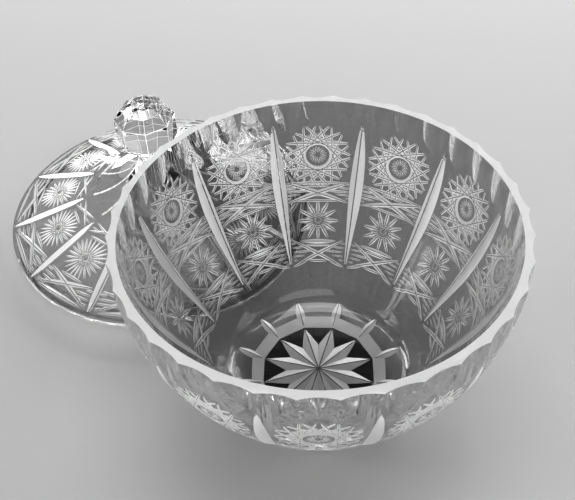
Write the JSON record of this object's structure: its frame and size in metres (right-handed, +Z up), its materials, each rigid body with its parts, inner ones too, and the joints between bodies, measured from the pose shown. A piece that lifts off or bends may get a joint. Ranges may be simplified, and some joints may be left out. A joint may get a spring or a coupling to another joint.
{
  "type": "covered cut glass jar",
  "caption": "Wide bowl-shaped jar of clear cut glass with star-cut panels and a fluted rim, and its domed lid with a faceted knob lying beside it.",
  "frame": {"origin": "on the bowl's axis, at the plane its foot stands on", "axes": "+Z up along the bowl's axis; -Y towards the viewer of the picture and +X to the viewer's right; the lid lies on the same plane, behind and to the left"},
  "size_m": [0.2274, 0.2464, 0.0915],
  "materials": {
    "cut_glass": "clear, cut and polished",
    "lid_glass": "clear, cut and polished"
  },
  "bodies": {
    "root": {"jar_body": "cut_glass", "lid": "lid_glass"}
  },
  "joints": []
}
